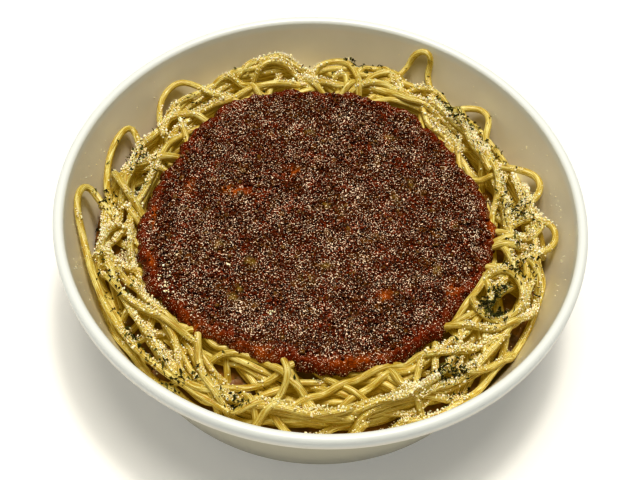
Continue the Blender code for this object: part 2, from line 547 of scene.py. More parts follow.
# Each is a list of (bearing, radius in mm), in the order in which they lie on each other.
FRONT_STRANDS = (
    ((212, 77), (220, 78.5), (229, 79), (238, 78), (248, 78.5), (258, 79.5), (274, 79), (284, 79)),
    ((225, 73), (237, 76), (246, 75), (252, 71)),
    ((228, 67), (229, 62), (236, 57), (241, 51)),
    ((230, 57), (236, 60), (243, 58), (248, 52)),
    ((250, 68), (256, 72), (259, 78)),
    ((277, 61), (283, 67), (288, 71)),
    ((268, 64), (271, 70), (275, 75), (281, 76)),
    ((259, 54), (265, 61), (269, 67), (270, 73)),
    ((310, 58), (304, 63), (300, 68), (298, 75)),
    ((291, 54), (294, 62), (295, 70), (298, 76)),
    ((245, 75), (249, 69), (257, 64), (265, 57)),
    ((239, 67), (241, 62), (249, 58), (257, 58.5), (265, 63), (272, 71)),
    ((215, 64), (223, 66), (233, 68), (241, 72), (249, 77)),
    ((288, 77), (296, 79.5), (307, 80), (318, 80), (329, 80)),
    ((309, 69), (313, 75), (319, 78), (326, 79)),
    ((272, 74), (278, 76), (283, 71.5), (289, 69), (295, 72), (298, 78)),
    ((258, 78), (264, 71.5), (272, 67), (282, 62.5), (296, 60.5), (306, 62), (316, 68), (328, 75)),
    ((233, 61), (238, 67), (245, 74), (253, 77), (260, 71), (264, 63), (260, 55)),
    ((214, 77), (213, 72), (218, 68), (226, 66), (233, 70), (238, 76)),
)
RIGHT_STRANDS = (
    ((320, 59), (328, 64), (337, 67), (346, 70)),
    ((341, 59), (335, 63), (327, 67), (320, 73)),
    ((354, 75), (350, 80), (342, 80.5), (334, 80.5), (326, 79)),
    ((346, 55), (347, 61), (347, 68), (343, 74)),
    ((0, 54), (1, 60), (358, 67), (352, 71), (344, 73)),
    ((353, 57), (356, 62), (350, 65), (344, 70), (338, 76)),
    ((321, 63), (326, 71), (335, 77), (343, 78), (350, 74), (355, 68)),
    ((337, 59), (343, 62), (344, 68), (339, 73.5), (332, 73), (326, 66), (329, 59.5), (337, 59)),
    ((355, 66), (356, 75), (0, 79), (4, 77), (8, 71)),
    ((12, 72), (9, 76.5), (4, 77), (0, 72), (358, 65)),
    ((23, 62), (30, 64), (32, 69), (27, 72.5), (22, 69), (23, 63)),
    ((348, 60), (340, 59.5), (330, 58.5), (320, 59)),
)
BACK_STRANDS = (
    ((61, 78), (56, 78), (50, 75), (43, 70), (36, 67)),
    ((52, 71), (44, 67), (34, 64), (24, 64)),
    ((116, 70), (110, 74), (103, 72), (98, 66)),
    ((92, 68), (88, 70.5), (85, 66), (85, 60)),
    ((131, 76), (125, 78.5), (119, 79), (115, 73)),
    ((128, 73), (122, 74), (117, 68), (115, 61)),
    ((138, 72), (138, 67), (136, 59)),
    ((150, 69), (144, 72), (139, 67), (137, 60)),
    ((83, 64), (78, 72.5), (70, 76.5), (62, 78), (56, 75)),
    ((81, 62), (76, 67), (68, 68), (60, 70), (53, 68)),
    ((84, 71), (81, 77.5), (76, 78.5), (71, 72)),
    ((97, 67), (95, 73), (88, 77), (83, 73), (81, 64)),
    ((119, 73), (112, 76.5), (105, 75), (97, 70), (92, 71)),
)
LEFT_STRANDS = (
    ((160, 62), (165, 68), (171, 72), (177, 78)),
    ((188, 79), (198, 79), (208, 79), (219, 79.5), (228, 78)),
    ((189, 77), (198, 77), (207, 76), (216, 77), (226, 78)),
    ((197, 77), (201, 71), (209, 66.5), (219, 65), (228, 63)),
    ((199, 76.5), (206, 74), (214, 71), (224, 66)),
    ((192, 79), (196, 74), (200, 68), (204, 60)),
    ((166, 69), (174, 69), (184, 70), (192, 74), (199, 78)),
    ((166, 78.5), (171, 73), (178, 66), (184, 58)),
    ((163, 78), (168, 76), (175, 70), (182, 62), (188, 57)),
)

# Strands that stand up against the wall: (bearing, radius, height), in mm.
STANDING_STRANDS = (
    # the tall loop at the left, whose tail runs on along the wall
    (
        (184, 70, 43), (180, 75.5, 45), (177, 80, 47.5), (178, 82.3, 49.4), (182, 82.9, 50.6),
        (186, 82.2, 48.8), (190, 81, 46), (196, 79.8, 44), (204, 79, 43.2), (214, 78.6, 42.6),
        (224, 78, 41.8), (233, 77, 41), (243, 76.6, 40.6), (252, 77.6, 40.2),
    ),
    # the low wide loop above it
    (
        (163, 64, 44), (158, 71, 43.8), (153.5, 77.5, 42.6), (153, 80.4, 43.6), (157, 81, 44),
        (162, 80.2, 43.2), (167, 78.5, 42.6), (173, 76, 43), (180, 72.5, 44), (187, 69, 44.2),
    ),
    # the arch at the back left
    (
        (150, 68, 43.5), (146, 74, 43.2), (141, 79.5, 43.6), (137, 81.2, 45), (133.5, 80.8, 45.3),
        (131, 77, 45), (129, 70, 45.4), (125, 64, 45.6), (121, 58, 44),
    ),
    # the small loop at the back right, which nearly reaches the rim
    (
        (74, 70, 43.6), (71, 76, 43.4), (69.5, 81, 45.2), (69, 82.6, 48.6), (67.6, 83.6, 51.6),
        (65.8, 83.9, 52.9), (64.2, 83.4, 51.4), (63.8, 82.2, 48), (63.6, 80.6, 44.6), (61, 76.5, 43.4),
        (57, 71, 44),
    ),
    # two low loops at the right
    (
        (52, 70, 43.6), (50, 76, 42.8), (47.5, 79.8, 42.9), (45, 80.7, 43.6), (42.6, 80, 43.2),
        (40.5, 77, 43), (37, 72, 43.6), (31, 68, 44),
    ),
    (
        (27, 69, 43.6), (24.5, 75, 43), (21.5, 79.5, 43.2), (18.8, 80.5, 43.6), (16, 79.6, 43.2),
        (13, 76, 43.4), (11, 71, 43.8), (7, 67, 44),
    ),
    (
        (354, 70, 43.2), (356, 76, 43), (358.4, 80, 43.4), (1, 81, 44), (4, 80.3, 43.8),
        (6.5, 76, 43.6), (6, 70, 44), (2, 64, 44),
    ),
)

# A path that ends this near the sauce, and faces it this much, runs on to this far under it.
NEAR_SAUCE = 7 * MM
LEAST_FACING = 0.2
UNDER_SAUCE = 9 * MM
DIRECTION_POINTS = 5


def run_under_sauce(path):
    """Lengthens a path that ends pointing at the edge of the sauce, so that its end is hidden."""
    end, ahead = path[-1], path[-1] - path[-DIRECTION_POINTS]
    ahead = ahead / np.linalg.norm(ahead)
    out = np.hypot(*end)
    inward = -(ahead @ end) / out
    gap = out - sauce_radius(bearing_of(*end))
    if gap > NEAR_SAUCE or inward < LEAST_FACING:
        return path
    more = np.arange(1, int((gap + UNDER_SAUCE) / SPACING) + 1)[:, None] * SPACING
    return np.vstack([path, end + ahead * more])


def flat_route(points):
    """The flat route through (bearing, radius) points."""
    path = soften(spline([place(bearing, out * MM) for bearing, out in points], SPACING), ROUTE_ROUNDS)
    return run_under_sauce(run_under_sauce(path)[::-1])


def lay_all():
    """Every strand, from the bottom up, and the map of their tops."""
    surface = Surface(RIM_RADIUS, core_height)
    strands = lay_wandering(surface)
    under = len(strands)
    for routes in (FRONT_STRANDS, RIGHT_STRANDS, BACK_STRANDS, LEFT_STRANDS):
        strands += [lay(surface, flat_route(route)) for route in routes]
    strands += [stand(surface, route) for route in STANDING_STRANDS]
    return strands[:under], strands[under:], surface


# A strand's mesh: points round it, distance from ring to ring, and how uneven it is.
STRAND_SIDES = 10
STRAND_STEP = 1.55 * MM
THICKNESS = (0.93, 1.06)
RIDGE = 0.045
MOST_TWIST = 2.5
SWELL = 0.04
SWELL_TURNS = (8, 20)
GRAIN_LENGTH = 26 * MM
GRAIN_STARTS = 50


def tube(path, radius, turn):
    """Points, faces and grain of a closed strand with faint ridges along it.

    The grain runs round the strand (first two numbers) and along it (the third), for its material.
    """
    path = resample(path, STRAND_STEP)
    path = np.column_stack([soften(column, 1) for column in path.T])
    count = len(path)
    ahead = np.gradient(path, axis=0)
    ahead /= np.linalg.norm(ahead, axis=1, keepdims=True)
    side = np.cross(ahead[0], (0.0, 0.0, 1.0))
    side /= np.linalg.norm(side)
    sides = np.empty((count, 3))
    for index in range(count):
        side = side - ahead[index] * (side @ ahead[index])
        side = side / np.linalg.norm(side)
        sides[index] = side
    ups = np.cross(sides, ahead)
    ridges = 1 + rng.uniform(-RIDGE, RIDGE, STRAND_SIDES)
    angle = np.linspace(0, math.tau, STRAND_SIDES, endpoint=False)
    twist = turn + np.linspace(0, rng.uniform(-MOST_TWIST, MOST_TWIST), count)[:, None]
    swell = 1 + SWELL * np.sin(np.linspace(0, rng.uniform(*SWELL_TURNS), count) + turn)[:, None]
    reach = radius * swell * ridges
    around = angle + twist
    points = (
        path[:, None, :]
        + sides[:, None, :] * (reach * np.cos(around))[..., None]
        + ups[:, None, :] * (reach * np.sin(around))[..., None]
    )
    points = points.reshape(-1, 3)
    ring = np.arange(STRAND_SIDES)
    following = (ring + 1) % STRAND_SIDES
    low = (np.arange(count - 1) * STRAND_SIDES)[:, None]
    high = low + STRAND_SIDES
    faces = np.stack([low + ring, low + following, high + following, high + ring], axis=-1).reshape(-1, 4)
    along = np.repeat(np.arange(count) * STRAND_STEP / GRAIN_LENGTH, STRAND_SIDES)
    grain = np.column_stack([np.tile(np.cos(angle), count), np.tile(np.sin(angle), count), along])
    last = (count - 1) * STRAND_SIDES
    caps = [ring[::-1].tolist(), (last + ring).tolist()]
    return points, faces.tolist() + caps, grain


def strand_piece(name, strands, look):
    """One piece of many strands."""
    parts = Parts()
    grains = []
    for path in strands:
        radius = STRAND_RADIUS * rng.uniform(*THICKNESS)
        points, faces, grain = tube(path, radius, rng.uniform(0, math.tau))
        parts.add(points, faces)
        grains.append(grain + (0, 0, rng.uniform(0, GRAIN_STARTS)))
    obj = parts.piece(name, look)
    made = obj.data.attributes.new("grain", "FLOAT_VECTOR", "POINT")
    made.data.foreach_set("vector", np.vstack(grains).astype(np.float32).reshape(-1))
    return obj


# The side of the core from its underside up: height, and how far it draws in, in mm.
CORE_SIDE = ((5, 5), (9, 0), (18, 0), (27, 0))
CORE_SPOKES = 144
CORE_RINGS = 34
CORE_CLEAR = 0.7 * MM


def loft_core(look):
    """The core under the strands: a plain closed heap a little smaller than the bowl's inside."""
    bearings = even_bearings(CORE_SPOKES)
    rings = []
    for height, drawn_in in CORE_SIDE:
        out = inner_wall(height * MM) - drawn_in * MM - CORE_CLEAR
        rings.append([(*place(bearing, out), height * MM) for bearing in bearings])
    most = inner_wall(PASTA_LEVEL - CORE_DEPTH - 2 * CORE_LUMPS) - CORE_CLEAR
    for ring in range(CORE_RINGS):
        share = 1 - ring / CORE_RINGS
        spots = [place(bearing, share * min(outer_limit(bearing), most)) for bearing in bearings]
        rings.append([(x, y, float(core_height(x, y))) for x, y in spots])
    shape = skin(CORE_SIDE[0][0] * MM, rings, float(core_height(0.0, 0.0)))
    return mesh_piece("pasta_core", *shape, look, "spaghetti")


# ---------- the sauce

SAUCE_CELLS = 280
# The relief: how far it starts under SAUCE_TOP, how much it sinks at the edge, and its slow waves.
RELIEF_DROP = 0.55 * MM
EDGE_DROP = 0.5 * MM
SLOW_WAVES = 0.25 * MM
WAVES_FADE = 9
# The side: rings down it, and knobs on it.
SIDE_RINGS = 11
KNOBS = 0.16 * MM
# Lumps in the sauce: how many, middle radius and spread in mm, and height as a share of the radius.
CHUNKS = (800, 1.3, 0.35, 0.36)
GRAINS = (12000, 0.55, 0.16, 0.6)
LUMP_SIZES = (0.3, 3.0)
LUMP_NARROWNESS = (0.55, 0.95)
LUMP_RISE = (0.55, 1.0)
LUMP_REACH = 64 * MM
LUMP_CELL = 0.2 * MM
# Waves in the ragged edge: height in mm, how many round the edge, where they start.
RAGGED = ((0.55, 17, 2.0), (0.45, 31, 1.0), (0.35, 53, 0.0), (0.25, 97, 4.0))
# Places of another colour: bearing, radius, half length round the bowl and half width across, in mm.
ORANGE_PLACES = (
    (165, 31, 2.2, 5), (253, 58, 6, 2.2), (232, 61, 7, 2.4), (243, 60, 9, 2.6), (121, 22, 3, 2),
    (170, 47, 3, 1.6), (284, 58, 9, 1.6), (306, 38, 3, 2), (330, 52, 3, 2), (3, 59, 7, 1.8),
    (186, 57, 5, 1), (203, 60, 3, 1),
)
OLIVE_PLACES = (
    (26, 7, 3, 1), (75, 5, 1.6, 1), (279, 21, 2, 1.2), (264, 27, 2.4, 1.6), (21, 27, 1.8, 1.2),
    (29, 35, 1.8, 1.2), (334, 44, 2.2, 1.4), (224, 31, 2, 1.6), (205, 37, 2.2, 1.4),
    (233, 45, 2.6, 1.6), (232, 41, 1.6, 1.2), (100, 38, 1.8, 1.2), (60, 44, 1.8, 1.2), (0, 46, 1.4, 1),
)


def disc_grid(cells):
    """A square grid pressed into a round one: unit x, unit y, by the concentric map."""
    line = np.linspace(-1, 1, cells + 1)
    a, b = np.meshgrid(line, line)
    wide = np.abs(a) >= np.abs(b)
    safe_a = np.where(a == 0, 1e-12, a)
    safe_b = np.where(b == 0, 1e-12, b)
    radius = np.where(wide, a, b)
    angle = np.where(wide, math.pi / 4 * b / safe_a, math.pi / 2 - math.pi / 4 * a / safe_b)
    return radius * np.cos(angle), radius * np.sin(angle)


def lump_cell(value):
    """The row or column of the lump map at a distance from its middle."""
    return np.rint((value + LUMP_REACH) / LUMP_CELL).astype(int)


def lump_map():
    """A height map of mince, small lumps and larger ones pressed together."""
    side = int(2 * LUMP_REACH / LUMP_CELL) + 1
    height = np.zeros((side, side))
    for count, middle, spread, rise in (CHUNKS, GRAINS):
        for size in np.clip(rng.normal(middle, spread, count), *LUMP_SIZES) * MM:
            x, y = rng.uniform(-LUMP_REACH, LUMP_REACH, 2)
            narrow = size * rng.uniform(*LUMP_NARROWNESS)
            turn = rng.uniform(0, math.pi)
            column, row = int((x + LUMP_REACH) / LUMP_CELL), int((y + LUMP_REACH) / LUMP_CELL)
            span = int(size / LUMP_CELL) + 1
            rows = slice(max(row - span, 0), min(row + span + 1, side))
            columns = slice(max(column - span, 0), min(column + span + 1, side))
            over_x = (np.arange(columns.start, columns.stop) - column) * LUMP_CELL
            over_y = ((np.arange(rows.start, rows.stop) - row) * LUMP_CELL)[:, None]
            u = (over_x * math.cos(turn) + over_y * math.sin(turn)) / size
            v = (over_y * math.cos(turn) - over_x * math.sin(turn)) / narrow
            dome = np.sqrt(np.clip(1 - u * u - v * v, 0, 1)) * narrow * rise * rng.uniform(*LUMP_RISE)
            height[rows, columns] = np.maximum(height[rows, columns], dome)
    return height


def inside_places(points, places):
    """How well inside one of the places each point is, from 0 to 1."""
    bearing = bearing_of(points[:, 0], points[:, 1])
    out = np.hypot(points[:, 0], points[:, 1]) / MM
    most = np.zeros(len(points))
    for middle, radius, along, across in places:
        round_the_bowl = np.radians((bearing - middle + 180) % 360 - 180) * out
        away = (round_the_bowl / along) ** 2 + ((out - radius) / across) ** 2
        most = np.maximum(most, np.exp(-away))
    return most


def sauce_side(share):
    """How far the side draws in, in metres, from the top edge (0) to the underside (1)."""
    return (2.0 * (1 - share) ** 4 + 1.8 * share**7) * MM


def sauce_top():
    """The lumpy top as a grid: points, their share of the way out, their bearings and the edge's radius."""
    ux, uy = disc_grid(SAUCE_CELLS)
    unit = np.hypot(ux, uy)
    bearing = bearing_of(ux, uy)
    ragged = sum(high * np.sin(np.radians(bearing) * waves + start) for high, waves, start in RAGGED)
    edge = sauce_radius(bearing) + ragged * MM * unit**6
    out = unit * (edge - sauce_side(0.0))
    x, y = out * ux / np.maximum(unit, 1e-9), out * uy / np.maximum(unit, 1e-9)
    relief = lump_map()[lump_cell(y), lump_cell(x)]
    slow = SLOW_WAVES * (np.sin(x / (9 * MM)) * np.cos(y / (11 * MM)) + np.sin((x - y) / (17 * MM)))
    fade = smooth((1 - unit) * WAVES_FADE)
    z = SAUCE_TOP - RELIEF_DROP - EDGE_DROP * unit**16 + slow * fade + relief
    points = np.stack([x, y, z], axis=-1).reshape(-1, 3)
    return points, unit.reshape(-1), bearing.reshape(-1), edge.reshape(-1)


def sauce_piece(look):
    """The round of sauce: a lumpy top, a rounded ragged side and a flat underside."""
    top, unit, bearing, edge = sauce_top()
    stacks, rims = [top], [unit]
    size = SAUCE_CELLS + 1
    index = np.arange(size * size).reshape(size, size)
    corners = [index[:-1, :-1], index[:-1, 1:], index[1:, 1:], index[1:, :-1]]
    faces = np.stack(corners, axis=-1).reshape(-1, 4).tolist()
    above = np.concatenate([index[0, :-1], index[:-1, -1], index[-1, :0:-1], index[:0:-1, 0]])
    bearing, edge, top_z = bearing[above], edge[above], top[above, 2]
    around = np.arange(len(above))
    after = np.roll(around, -1)
    for ring in range(1, SIDE_RINGS + 1):
        share = ring / SIDE_RINGS
        knobs = rng.normal(0, KNOBS, len(around)) * math.sin(math.pi * share)
        knobs = (knobs + np.roll(knobs, 1)) / 1.5
        x, y = place(bearing, edge - sauce_side(share) + knobs)
        here = around + sum(len(stack) for stack in stacks)
        stacks.append(np.column_stack([x, y, top_z + (SAUCE_BOTTOM - top_z) * share**0.8]))
        rims.append(np.full(len(around), 1.0 + share))
        faces += np.stack([above[after], above, here, here[after]], axis=-1).tolist()
        above = here
    faces.append(above[::-1].tolist())
    points = np.vstack(stacks)
    obj = mesh_piece("bolognese", points, faces, look, "meat_sauce")
    attribute(obj, "edge", np.concatenate(rims))
    attribute(obj, "orange", inside_places(points, ORANGE_PLACES))
    attribute(obj, "olive", inside_places(points, OLIVE_PLACES))
    return obj


# Loose crumbs of mince: how many, middle size, spread and limits in mm, how far in from the edge,
# and how deep they lie: under SAUCE_TOP, and on from there in shares of their size.
MINCE_COUNT = 2400
MINCE_SIZE = 1.25
MINCE_SPREAD = 0.3
MINCE_SIZES = (0.6, 2.8)
MINCE_FROM_EDGE = 3 * MM
MINCE_DROP = 0.3 * MM
MINCE_DEPTHS = (-0.25, 0.08)
MINCE_FLATNESS = 0.7


def mince_piece(look):
    """Crumbs of mince, half sunk in the top of the sauce."""
    bearing = rng.uniform(0, 360, MINCE_COUNT)
    out = (sauce_radius(bearing) - MINCE_FROM_EDGE) * np.sqrt(rng.uniform(0, 1, MINCE_COUNT))
    x, y = place(bearing, out)
    sizes = np.clip(rng.lognormal(math.log(MINCE_SIZE), MINCE_SPREAD, MINCE_COUNT), *MINCE_SIZES) * MM
    z = SAUCE_TOP - MINCE_DROP + rng.uniform(*MINCE_DEPTHS, MINCE_COUNT) * sizes
    centres = np.column_stack([x, y, z])
    return crumb_piece("mince", icosahedron(), centres, sizes, look, "meat_sauce", MINCE_FLATNESS)


def octahedron():
    """Points and faces of a small angular crumb."""
    points = np.array([(1, 0, 0), (0, 1, 0), (-1, 0, 0), (0, -1, 0), (0, 0, 1), (0, 0, -1)], float)
    upper = [(side, (side + 1) % 4, 4) for side in range(4)]
    lower = [((side + 1) % 4, side, 5) for side in range(4)]
    return points, np.array(upper + lower)


def icosahedron():
    """Points and faces of a rounder crumb."""
    golden = (1 + math.sqrt(5)) / 2
    outside = math.sqrt(1 + golden**2)
    points = []
    for one in (-1, 1):
        for other in (-golden, golden):
            points += [(0, one, other), (one, other, 0), (other, 0, one)]
    points = np.array(points, float) / outside
    side = 2 / outside
    faces = []
    for a, b, c in itertools.combinations(range(len(points)), 3):
        corners = points[[a, b, c]]
        if max(np.linalg.norm(corners - np.roll(corners, 1, axis=0), axis=1)) < 1.01 * side:
            normal = np.cross(corners[1] - corners[0], corners[2] - corners[0])
            faces.append((a, b, c) if normal @ corners.mean(0) > 0 else (a, c, b))
    return points, np.array(faces)


# How far a crumb's corners reach, and how far the whole crumb is stretched at most.
CRUMB_REACH = (0.68, 1.2)
CRUMB_STRETCH = 1.15


def random_turns(count):
    """Random rotation matrices, from random quaternions."""
    q = rng.normal(size=(count, 4))
    w, x, y, z = (q / np.linalg.norm(q, axis=1, keepdims=True)).T
    return np.stack(
        [
            1 - 2 * (y * y + z * z), 2 * (x * y - z * w), 2 * (x * z + y * w),
            2 * (x * y + z * w), 1 - 2 * (x * x + z * z), 2 * (y * z - x * w),
            2 * (x * z - y * w), 2 * (y * z + x * w), 1 - 2 * (x * x + y * y),
        ],
        axis=1,
    ).reshape(count, 3, 3)


def crumb_piece(name, form, centres, sizes, look, slot, flatness):
    """Many small uneven crumbs as one piece: centres, and sizes across, in metres."""
    base, faces = form
    count, corners = len(centres), len(base)
    shape = base[None] * rng.uniform(*CRUMB_REACH, (count, corners, 1))
    shape = shape * rng.uniform(flatness, CRUMB_STRETCH, (count, 1, 3))
    shape = np.einsum("nij,nkj->nki", random_turns(count), shape)
    points = centres[:, None, :] + shape * (sizes / 2)[:, None, None]
    all_faces = (faces[None] + corners * np.arange(count)[:, None, None]).reshape(-1, 3)
    obj = mesh_piece(name, points.reshape(-1, 3), all_faces, look, slot)
    attribute(obj, "tone", np.repeat(rng.uniform(size=count), corners))
    return obj


# ---------- cheese and parsley

# Patches: bearing, radius, spread round the bowl and across, in mm, and how many for a share of 1.
CHEESE_PATCHES = (
    (8, 75, 4, 3, 260), (12, 68, 4, 3.5, 360), (17, 71, 4, 3, 320), (22, 69, 4, 3, 260),
    (30, 66, 4, 3, 120), (36, 65, 4, 2.5, 260), (42, 63, 4, 2.5, 340), (50, 66, 4, 3, 380),
    (59, 69, 5, 3, 260), (70, 72, 5, 3, 80), (85, 70, 6, 3, 110), (98, 68, 4, 2, 240),
    (106, 73, 6, 3, 360), (115, 72, 5, 3, 120), (123, 69, 5, 3, 200), (131, 67, 4, 3, 240),
    (142, 70, 5, 3, 140), (150, 68, 4, 3, 140), (159, 68, 3, 2.5, 280), (165, 67, 3.5, 3, 420),
    (170, 62, 3, 2, 150), (177, 70, 6, 4, 160), (184, 72, 5, 3.5, 160), (191, 69, 4, 3.5, 420),
    (195, 74, 3.5, 2.5, 260), (199, 66, 3.5, 3, 320), (206, 68, 4, 3, 160), (214, 67, 3.5, 3.5, 320),
    (221, 74, 4, 3, 300), (230, 73, 4, 2.5, 220), (240, 73, 5, 3, 80), (250, 71, 5, 3, 90),
    (259, 72, 4, 2.5, 120), (271, 74, 5, 2.5, 240), (283, 77, 4, 2, 160), (292, 74, 4, 2.5, 290),
    (299, 75, 4, 3, 380), (305, 74, 4, 3, 340), (312, 64, 5, 2.5, 150), (317, 71, 4, 3.5, 340),
    (325, 69, 4, 3, 170), (336, 76, 4, 2.5, 180), (335, 66, 5, 3.5, 170), (344, 78, 4, 2, 120),
    (352, 69, 5, 3.5, 200), (359, 72, 4, 4, 300),
)
CHEESE_ON_SAUCE = (
    (214, 60, 2.2, 1.4, 26), (208, 56, 3, 2, 8), (219, 38, 0.6, 0.6, 5), (251, 43, 0.8, 0.8, 9),
)
PARSLEY_PATCHES = (
    (331.5, 66.5, 3.2, 2.2, 150), (308, 72, 4, 3, 50), (312, 75, 2.5, 1.5, 12), (236, 78, 3, 1.5, 24),
    (253, 75, 3, 1.5, 18), (226, 76, 4, 2, 16), (220, 77, 4, 2, 12), (240, 71, 3, 2, 9),
    (208, 73, 4, 3, 14), (200, 77, 3, 1.5, 8), (179, 75, 4, 2, 22), (166, 67, 4, 3, 24),
    (160, 71, 3, 2.5, 14), (161, 77, 3, 1.5, 8), (135, 69, 3, 2, 12), (85, 78, 2, 2, 12),
    (79, 78, 2.5, 2, 10), (66, 80, 3, 2, 9), (51, 71, 5, 3, 32), (44, 67, 5, 3, 28),
    (43, 77, 2, 1.5, 8), (31, 71, 4, 3, 14), (10, 68, 5, 4, 32), (351, 71, 5, 4, 34),
    (6, 70, 3, 2.5, 16), (346, 67, 3, 2.5, 16),
)
# How many times the patches' numbers fall in them, and how many pieces fall anywhere in this ring, in mm.
ANYWHERE = (60, 80)
CHEESE_SHARE = 1.95
CHEESE_ANYWHERE = 1000
PARSLEY_SHARE = 2.5
PARSLEY_ANYWHERE = 150
# Cheese crumbs: size in mm (middle, spread, limits), the few bits on the sauce, and the clumps.
CHEESE_SIZE = 0.43
CHEESE_SPREAD = 0.46
CHEESE_SIZES = (0.2, 1.5)
CHEESE_FLATNESS = 0.75
BIT_SIZES = (0.5, 1.3)
BITS_FROM_EDGE = 1.5 * MM
BITS_LIFT = 0.1 * MM
CLUMPED = 0.78
CLUMP_SPREAD = 1.15 * MM
CRUMBS_IN_CLUMP = 50
# Fine crumbs on the wall: how many, round which bearings and how near, height over the pasta, and size.
WALL_CRUMBS = 90
WALL_CRUMB_SIDES = (185, 15)
WALL_CRUMB_SPREAD = 22
WALL_CRUMB_HEIGHTS = (3 * MM, 12 * MM)
WALL_CRUMB_SIZES = (0.2, 0.5)
# Room left beside the sauce, at the wall and under the rim.
CLEAR_OF_SAUCE = 0.3 * MM
CLEAR_OF_WALL = 1.2 * MM
HIGHEST_CRUMB = RIM_HEIGHT - 3.0 * MM
# How deep crumbs pile up before the next ones roll aside, how far they roll, and how many times.
MOST_PILED = 0.7 * MM
ROLL = 0.9 * MM
ROLLS = 6
TALLEST_PILE = 1.6 * MM
# How far a crumb's middle is over what it lies on, and the pile's top over that, as shares of its size.
CRUMB_LIFT = 0.22
CRUMB_TOP = 0.25
# Powder: the cell in which crumbs are counted, how many make it thick, and how deep it falls.
DUST_CELL = 1.0 * MM
DUST_FULL = 4.0
DUST_DEPTH = 1.2 * MM
# Flakes of parsley: size in mm, corners, thickness, lean in radians, and height over the pasta.
FLAKE_SIZES = (0.45, 1.5)
FLAKE_CORNERS = (5, 8)
FLAKE_THICKNESS = 0.09 * MM
FLAKE_LEAN = 0.5
FLAKE_LIFT = 0.22 * MM


def scatter(patches, anywhere=0, share=1.0):
    """Random x and y for crumbs: in patches, and a few anywhere on the pasta."""
    xs, ys = [], []
    for bearing, out, along, across, amount in patches:
        count = int(amount * share)
        turn = bearing + np.degrees(rng.normal(0, along, count) / out)
        x, y = place(turn, (out + rng.normal(0, across, count)) * MM)
        xs.append(x)
        ys.append(y)
    turn = rng.uniform(0, 360, anywhere)
    x, y = place(turn, rng.uniform(*ANYWHERE, anywhere) * MM)
    return np.concatenate(xs + [x]), np.concatenate(ys + [y])


def is_clear(x, y, height):
    """Whether a place is outside the sauce and inside the wall, with room for a crumb."""
    out = np.hypot(x, y)
    beside_sauce = out > sauce_radius(bearing_of(x, y)) + CLEAR_OF_SAUCE
    return beside_sauce & (out < inner_wall(height) - CLEAR_OF_WALL) & (height < HIGHEST_CRUMB)


def on_pasta(x, y, surface):
    """Keeps the places that are on the pasta, clear of the sauce and the wall."""
    height = surface.top(x, y)
    keep = is_clear(x, y, height)
    return x[keep], y[keep], height[keep]


def pile_up(surface, x, y, sizes):
    """Drops crumbs one by one on the map, so that they heap up. Gives their centres and sizes."""
    last = len(surface.height) - 1
    bare = surface.height.copy()
    kept = []
    for px, py, size in zip(x, y, sizes):
        here = surface.cells(px, py)
        for over, up in rng.normal(0, ROLL, (ROLLS, 2)):
            if surface.height[here] - bare[here] < MOST_PILED:
                break
            there = surface.cells(px + over, py + up)
            if is_clear(px + over, py + up, bare[there]):
                px, py, here = px + over, py + up, there
        if surface.height[here] - bare[here] > TALLEST_PILE:
            continue
        z = surface.height[here] + size * CRUMB_LIFT
        kept.append((px, py, z, size))
        reach = max(int(size / 2 / surface.CELL), 1)
        covered = tuple(slice(max(cell - reach, 0), min(cell + reach + 1, last)) for cell in here)
        surface.height[covered] = np.maximum(surface.height[covered], z + size * CRUMB_TOP)
    kept = np.array(kept)
    return kept[:, :3], kept[:, 3]


def clumped(x, y):
    """Moves most of the places next to others, so that they gather in clumps."""
    count = len(x)
    moved = rng.uniform(size=count) < CLUMPED
    host = rng.integers(0, count // CRUMBS_IN_CLUMP + 1, count)
    x = np.where(moved, x[host] + rng.normal(0, CLUMP_SPREAD, count), x)
    y = np.where(moved, y[host] + rng.normal(0, CLUMP_SPREAD, count), y)
    return x, y


def heaped_crumbs(surface):
    """Centres and sizes of the crumbs on the pasta."""
    x, y = scatter(CHEESE_PATCHES, CHEESE_ANYWHERE, CHEESE_SHARE)
    mixed = rng.permutation(len(x))
    x, y = clumped(x[mixed], y[mixed])
    x, y, _ = on_pasta(x, y, surface)
    sizes = np.clip(rng.lognormal(math.log(CHEESE_SIZE), CHEESE_SPREAD, len(x)), *CHEESE_SIZES) * MM
    return pile_up(surface, x, y, sizes)


def sauce_crumbs():
    """Centres and sizes of the few bits on the sauce."""
    x, y = scatter(CHEESE_ON_SAUCE)
    sizes = rng.uniform(*BIT_SIZES, len(x)) * MM
    inside = np.hypot(x, y) < sauce_radius(bearing_of(x, y)) - BITS_FROM_EDGE
    z = np.full(len(x), SAUCE_TOP + BITS_LIFT)
    return np.column_stack([x, y, z])[inside], sizes[inside]


def wall_crumbs():
    """Centres and sizes of the few fine crumbs that stick to the wall above the pasta."""
    half = WALL_CRUMBS // 2
    bearing = np.concatenate([rng.normal(middle, WALL_CRUMB_SPREAD, half) for middle in WALL_CRUMB_SIDES])
    count = len(bearing)
    height = PASTA_LEVEL + rng.uniform(*WALL_CRUMB_HEIGHTS, count) * rng.uniform(0.2, 1, count)
    sizes = rng.uniform(*WALL_CRUMB_SIZES, count) * MM
    x, y = place(bearing, inner_wall(height) - 0.35 * sizes)
    return np.column_stack([x, y, height]), sizes


def cheese_piece(surface, look):
    """The grated cheese. Gives the centres of the crumbs on the pasta, round which powder lies."""
    crumbs = [heaped_crumbs(surface), sauce_crumbs(), wall_crumbs()]
    centres, sizes = (np.concatenate(values) for values in zip(*crumbs))
    crumb_piece("grated_cheese", octahedron(), centres, sizes, look, "spaghetti", CHEESE_FLATNESS)
    return crumbs[0][0]


